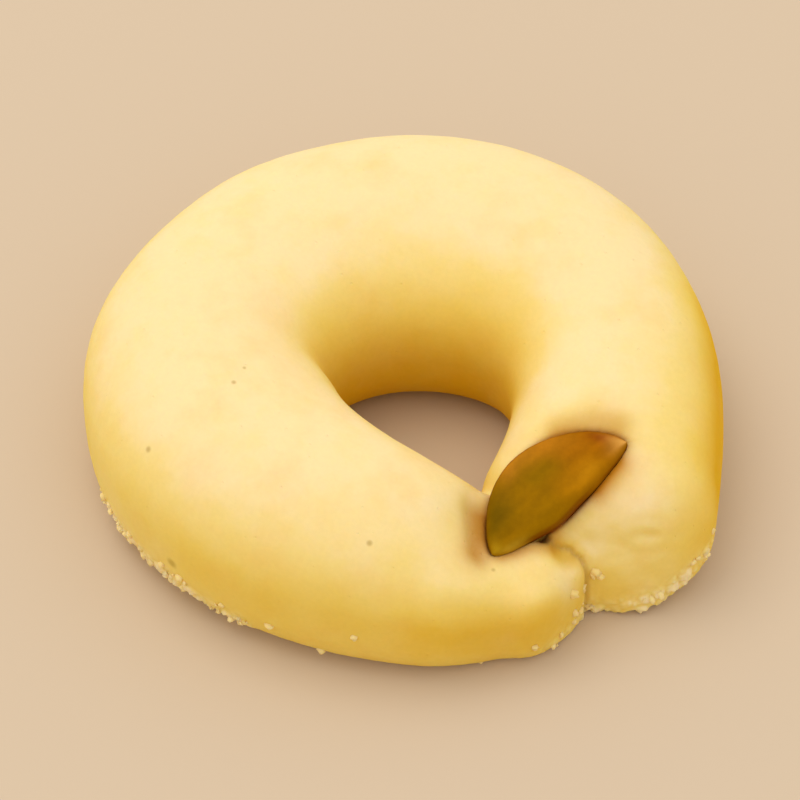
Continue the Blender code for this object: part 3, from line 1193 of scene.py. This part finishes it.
    def crumbs_rise(self, points: Array, crumbly: Array) -> Array:
        """Gives how far clustered crumbs rise, with cracks between them, where the dough has crumbled.

        Args:
            points: The dough's points.
            crumbly: How far it has crumbled there.

        Returns:
            From below 0, in a crack, to above 0, on a crumb.
        """
        rises = np.zeros(len(points))
        for index in np.flatnonzero(crumbly > self.least_crumbly):
            for size, share in self.crumb_layers:
                place = Vector(points[index]) / (size * self.crumb_cell)
                nearest = noise.voronoi(place, distance_metric="DISTANCE")[0]
                from_crack = min(1.0, (nearest[1] - nearest[0]) / self.crack_width)
                rises[index] += share * (from_crack - self.crack_depth)
        return rises * crumbly

    def dryness_and_painted_light(self, points: Array, normals: Array) -> Array:
        """Gives the skin's drying and painted light: least low in the hole, and most on the crown.

        Args:
            points: The dough's points.
            normals: The normals there.

        Returns:
            From 0, golden, to 1, pale.
        """
        level = points[:, 2]
        # Facing up and standing high make it paler: partly drying, partly painted light on the crown
        outside = self.dry_and_lit_flank + self.dry_and_lit_facing_up * ramp(normals[:, 2], 0.0, 0.95)
        outside += self.dry_and_lit_high * ramp(level, *self.high_levels)
        hole = np.clip((level - self.moist_and_shaded_level) / self.drying_and_lighting_height, 0.0, 1.0) ** self.drying_and_lighting_curve
        # The hole's walls get painted shade: golden low down, paler higher up
        dryness_and_painted_light = outside + self.facing_hole(points, normals) * (hole - outside)
        # Marks with a positive depth paint shade, and with a negative depth paint light
        for mark in self.golden:
            dryness_and_painted_light -= mark.depth * mark.share(points)
        return dryness_and_painted_light

    def facing_hole(self, points: Array, normals: Array) -> Array:
        """Gives 1 on the walls of the hole and 0 on the crown and the outside.

        Args:
            points: The dough's points.
            normals: The normals there.

        Returns:
            From 0 to 1 at each point.
        """
        inwards = np.array(self.hole_middle) - points[:, :2]
        away = np.maximum(np.linalg.norm(inwards, axis=1), MM)
        facing = (normals[:, :2] * inwards).sum(axis=1) / away
        # The strands beside the joint stay free of the hole's painted shade further down than the far wall
        start = 0.5 * (1.0 + inwards[:, 1] / away) ** 1.4
        return ramp(facing - start, 0.0, 0.6) * ramp(away, *self.inner_side)

    def inside_box(self, points: Array) -> Array:
        """Keeps the points inside the solid's box."""
        low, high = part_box(Solid.DOUGH.value)
        return np.clip(points, np.array(low), np.array(high))


# ---------------- the crumbs


@dataclass
class Crumbs:
    """Loose crumbs that cling where the dough has crumbled."""

    smallest: float = 0.14 * MM
    largest: float = 0.36 * MM
    least_squash: Place = (0.7, 0.7, 0.6)
    most_squash: Place = (1.25, 1.25, 1.0)
    crumbs_a_square_mm: float = 1.4
    raggedness: float = 1.2
    lump_size: float = 0.26 * MM
    seed: int = 7
    # Paler than the skin, as crumbs are, and partly painted light, as most lie in the shade of the foot
    finish: PaleShortbread = PaleShortbread(
        name="shortbread_crumb", tones=((0.0, "#F8D68A"), (1.0, "#FCE2A2")), specks=()
    )
    # Single crumbs that show, in millimetres: x, y, z and radius
    single: tuple[Ball, ...] = (
        (13.35, -15.55, 4.5, 0.44),
        (13.6, -15.65, 4.15, 0.36),
        (13.1, -15.65, 4.2, 0.30),
        (11.7, -17.7, 4.65, 0.42),
    )

    def tree(self) -> Tree:
        """Builds the tree that scatters crumbs over a surface by its crumbly attribute.

        Returns:
            The node tree.
        """
        tree = bpy.data.node_groups.new("crumb_scatter", "GeometryNodeTree")
        for name, kind in (
            ("Single Crumbs", "Geometry"),
            ("Surface", "Object"),
            ("Density", "Float"),
            ("Smallest", "Float"),
            ("Largest", "Float"),
            ("Raggedness", "Float"),
            ("Lump Size", "Float"),
            ("Seed", "Int"),
            ("Dress", "Material"),
        ):
            tree.interface.new_socket(name, in_out="INPUT", socket_type=f"NodeSocket{kind}")
        tree.interface.new_socket("Crumbs", in_out="OUTPUT", socket_type="NodeSocketGeometry")
        given = add(tree, "NodeGroupInput").outputs

        surface = add(tree, "GeometryNodeObjectInfo", inputs={"Object": given["Surface"]}).outputs["Geometry"]
        crumbly, stated = (
            add(
                tree, "GeometryNodeInputNamedAttribute", {"data_type": "FLOAT"}, {"Name": name}
            ).outputs["Attribute"]
            for name in ("crumbly", "radius_of_crumb")
        )
        inputs = {0: crumbly, 1: given["Density"]}
        density = add(tree, "ShaderNodeMath", {"operation": "MULTIPLY"}, inputs).outputs[0]
        inputs = {"Mesh": surface, "Density": density, "Seed": given["Seed"]}
        spread = add(tree, "GeometryNodeDistributePointsOnFaces", inputs=inputs).outputs["Points"]
        single = add(tree, "GeometryNodeMeshToPoints", inputs={"Mesh": given["Single Crumbs"]}).outputs[0]
        points = add(tree, "GeometryNodeJoinGeometry", inputs={"Geometry": spread})
        tree.links.new(single, points.inputs["Geometry"])

        inputs = {2: given["Smallest"], 3: given["Largest"], "Seed": given["Seed"]}
        drawn = add(tree, "FunctionNodeRandomValue", {"data_type": "FLOAT"}, inputs).outputs[1]
        known = add(tree, "ShaderNodeMath", {"operation": "GREATER_THAN"}, {0: stated, 1: 0.0}).outputs[0]
        inputs = {"Switch": known, "False": drawn, "True": stated}
        radius = add(tree, "GeometryNodeSwitch", {"input_type": "FLOAT"}, inputs).outputs[0]
        squash, turn = (
            add(
                tree,
                "FunctionNodeRandomValue",
                {"data_type": "FLOAT_VECTOR"},
                {0: least, 1: most, "Seed": given["Seed"]},
            ).outputs[0]
            for least, most in ((self.least_squash, self.most_squash), ((0.0,) * 3, (math.tau,) * 3))
        )
        inputs = {0: squash, "Scale": radius}
        scale = add(tree, "ShaderNodeVectorMath", {"operation": "SCALE"}, inputs).outputs[0]
        inputs = {"Radius": 1.0, "Subdivisions": 2}
        ball = add(tree, "GeometryNodeMeshIcoSphere", inputs=inputs).outputs["Mesh"]
        inputs = {"Points": points.outputs[0], "Instance": ball, "Rotation": turn, "Scale": scale}
        scattered = add(tree, "GeometryNodeInstanceOnPoints", inputs=inputs).outputs[0]
        real = add(tree, "GeometryNodeRealizeInstances", inputs={"Geometry": scattered}).outputs[0]

        place = add(tree, "GeometryNodeInputPosition").outputs[0]
        inputs = {0: 1.0, 1: given["Lump Size"]}
        pattern = add(tree, "ShaderNodeMath", {"operation": "DIVIDE"}, inputs).outputs[0]
        inputs = {"Vector": place, "Scale": pattern, "Detail": 1.0}
        lumps = add(tree, "ShaderNodeTexNoise", inputs=inputs).outputs["Color"]
        inputs = {0: lumps, 1: NOISE_MIDDLE}
        centred = add(tree, "ShaderNodeVectorMath", {"operation": "SUBTRACT"}, inputs).outputs[0]
        inputs = {0: given["Raggedness"], 1: given["Largest"]}
        reach = add(tree, "ShaderNodeMath", {"operation": "MULTIPLY"}, inputs).outputs[0]
        inputs = {0: centred, "Scale": reach}
        offset = add(tree, "ShaderNodeVectorMath", {"operation": "SCALE"}, inputs).outputs[0]
        inputs = {"Geometry": real, "Offset": offset}
        ragged = add(tree, "GeometryNodeSetPosition", inputs=inputs).outputs[0]
        inputs = {"Geometry": ragged, "Material": given["Dress"]}
        dressed = add(tree, "GeometryNodeSetMaterial", inputs=inputs).outputs[0]
        add(tree, "NodeGroupOutput", inputs={"Crumbs": dressed})
        return tree

    def build(self, dough: Piece) -> Piece:
        """Scatters the crumbs over the dough.

        Args:
            dough: The dough, with its crumbly attribute.

        Returns:
            The piece that holds all crumbs.
        """
        places = bpy.data.meshes.new("single_crumbs")
        places.from_pydata([Vector(crumb[:3]) * MM for crumb in self.single], [], [])
        write_attribute(places, "radius_of_crumb", np.array([crumb[3] * MM for crumb in self.single]))
        holder = new_piece("crumbs", places)
        tree = self.tree()
        scatter = holder.modifiers.new("crumbs", "NODES")
        scatter.node_group = tree
        values = {
            "Surface": dough,
            "Density": self.crumbs_a_square_mm / MM**2,
            "Smallest": self.smallest,
            "Largest": self.largest,
            "Raggedness": self.raggedness,
            "Lump Size": self.lump_size,
            "Seed": self.seed,
            "Dress": self.finish.material(),
        }
        for socket in tree.interface.items_tree:
            if socket.in_out == "INPUT" and socket.name in values:
                scatter[socket.identifier] = values[socket.name]
        mesh = baked(holder, "clinging_crumbs")
        low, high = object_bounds()
        write_points(mesh, np.clip(read_points(mesh), np.array(low), np.array(high)))
        mesh.shade_smooth()
        piece = new_piece(mesh.name, mesh)
        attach(piece, BODY)
        return piece


# ---------------- the studio


@dataclass
class Studio:
    """A plain pale floor, soft light from all round and above, and the camera."""

    floor_side: float = 3.0
    floor_drop: float = 0.02 * MM
    floor_colour: str = "#D0BDA6"
    floor_roughness: float = 0.9
    floor_gloss: float = 0.1
    sky_colour: str = "#FFFAF2"
    sky_strength: float = 0.95
    key_colour: str = "#FFF8EC"
    key_power: float = 1.6
    key_side: float = 0.5
    key_place: Place = (-0.25, 0.15, 0.68)
    # The camera: what it looks at, how high it stands and how far away
    aim: Place = (-0.16 * MM, -1.92 * MM, 6.0 * MM)
    elevation: float = math.radians(48.5)
    distance: float = 0.486
    sensor: float = 36.0
    focal_pixels: float = 1210.0  # focal length of the whole photograph, in its pixels
    view_pixels: float = 140.0  # how much of the photograph the view takes in
    shift_pixels: Span = (-0.15, 1.6)
    nearest: float = 0.01

    def build(self) -> None:
        """Builds the floor, the lights and the camera."""
        self.lay_floor()
        self.light_sky()
        self.hang_key()
        self.place_camera()
        bpy.context.scene.view_settings.view_transform = "Standard"

    def lay_floor(self) -> None:
        """Lays the floor just under the biscuit."""
        form = bmesh.new()
        bmesh.ops.create_grid(form, size=self.floor_side / 2)
        bmesh.ops.translate(form, vec=(0.0, 0.0, -self.floor_drop), verts=form.verts)
        mesh = bpy.data.meshes.new("pale_floor")
        form.to_mesh(mesh)
        form.free()
        constants = {
            "Base Color": linear(self.floor_colour),
            "Roughness": self.floor_roughness,
            "Specular IOR Level": self.floor_gloss,
        }
        material = new_material("plain_pale_floor", constants)[0]
        new_piece("pale_floor", mesh, material)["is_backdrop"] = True

    def light_sky(self) -> None:
        """Gives even light from all round."""
        world = bpy.data.worlds.new("soft_room")
        world.use_nodes = True
        sky = world.node_tree.nodes["Background"]
        sky.inputs["Color"].default_value = linear(self.sky_colour)
        sky.inputs["Strength"].default_value = self.sky_strength
        bpy.context.scene.world = world

    def hang_key(self) -> None:
        """Hangs the large soft lamp."""
        lamp = bpy.data.lights.new("soft_key", "AREA")
        lamp.shape = "SQUARE"
        lamp.size = self.key_side
        lamp.energy = self.key_power
        lamp.color = linear(self.key_colour)[:3]
        hung = bpy.data.objects.new("soft_key", lamp)
        hung.location = self.key_place
        hung.rotation_euler = (-Vector(self.key_place)).to_track_quat("-Z", "Y").to_euler()
        bpy.context.scene.collection.objects.link(hung)

    def place_camera(self) -> None:
        """Places the camera at the photograph's angle."""
        lens = bpy.data.cameras.new("camera")
        lens.sensor_width = self.sensor
        lens.lens = self.sensor * self.focal_pixels / self.view_pixels
        lens.shift_x = self.shift_pixels[0] / self.view_pixels
        lens.shift_y = self.shift_pixels[1] / self.view_pixels
        lens.clip_start = self.nearest
        camera = bpy.data.objects.new("camera", lens)
        back = Vector((0.0, -math.cos(self.elevation), math.sin(self.elevation)))
        camera.location = Vector(self.aim) + self.distance * back
        camera.rotation_euler = (math.pi / 2 - self.elevation, 0.0, 0.0)
        bpy.context.scene.collection.objects.link(camera)
        bpy.context.scene.camera = camera


# ---------------- the assembly


def report(piece: Piece) -> None:
    """Logs a piece's size in triangles."""
    triangles = sum(len(face.vertices) - 2 for face in piece.data.polygons)
    log.info("%s: %d triangles", piece.name, triangles)


def main() -> None:
    """Builds the biscuit in order and sets the studio round it."""
    logging.basicConfig(level=logging.INFO, format="%(message)s")
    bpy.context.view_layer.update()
    nut = PistachioHalf()
    kernel = nut.build()
    report(kernel)
    dough = DoughRing().build(nut, kernel)
    report(dough)
    report(Crumbs().build(dough))
    Studio().build()


if __name__ == "__main__":
    main()
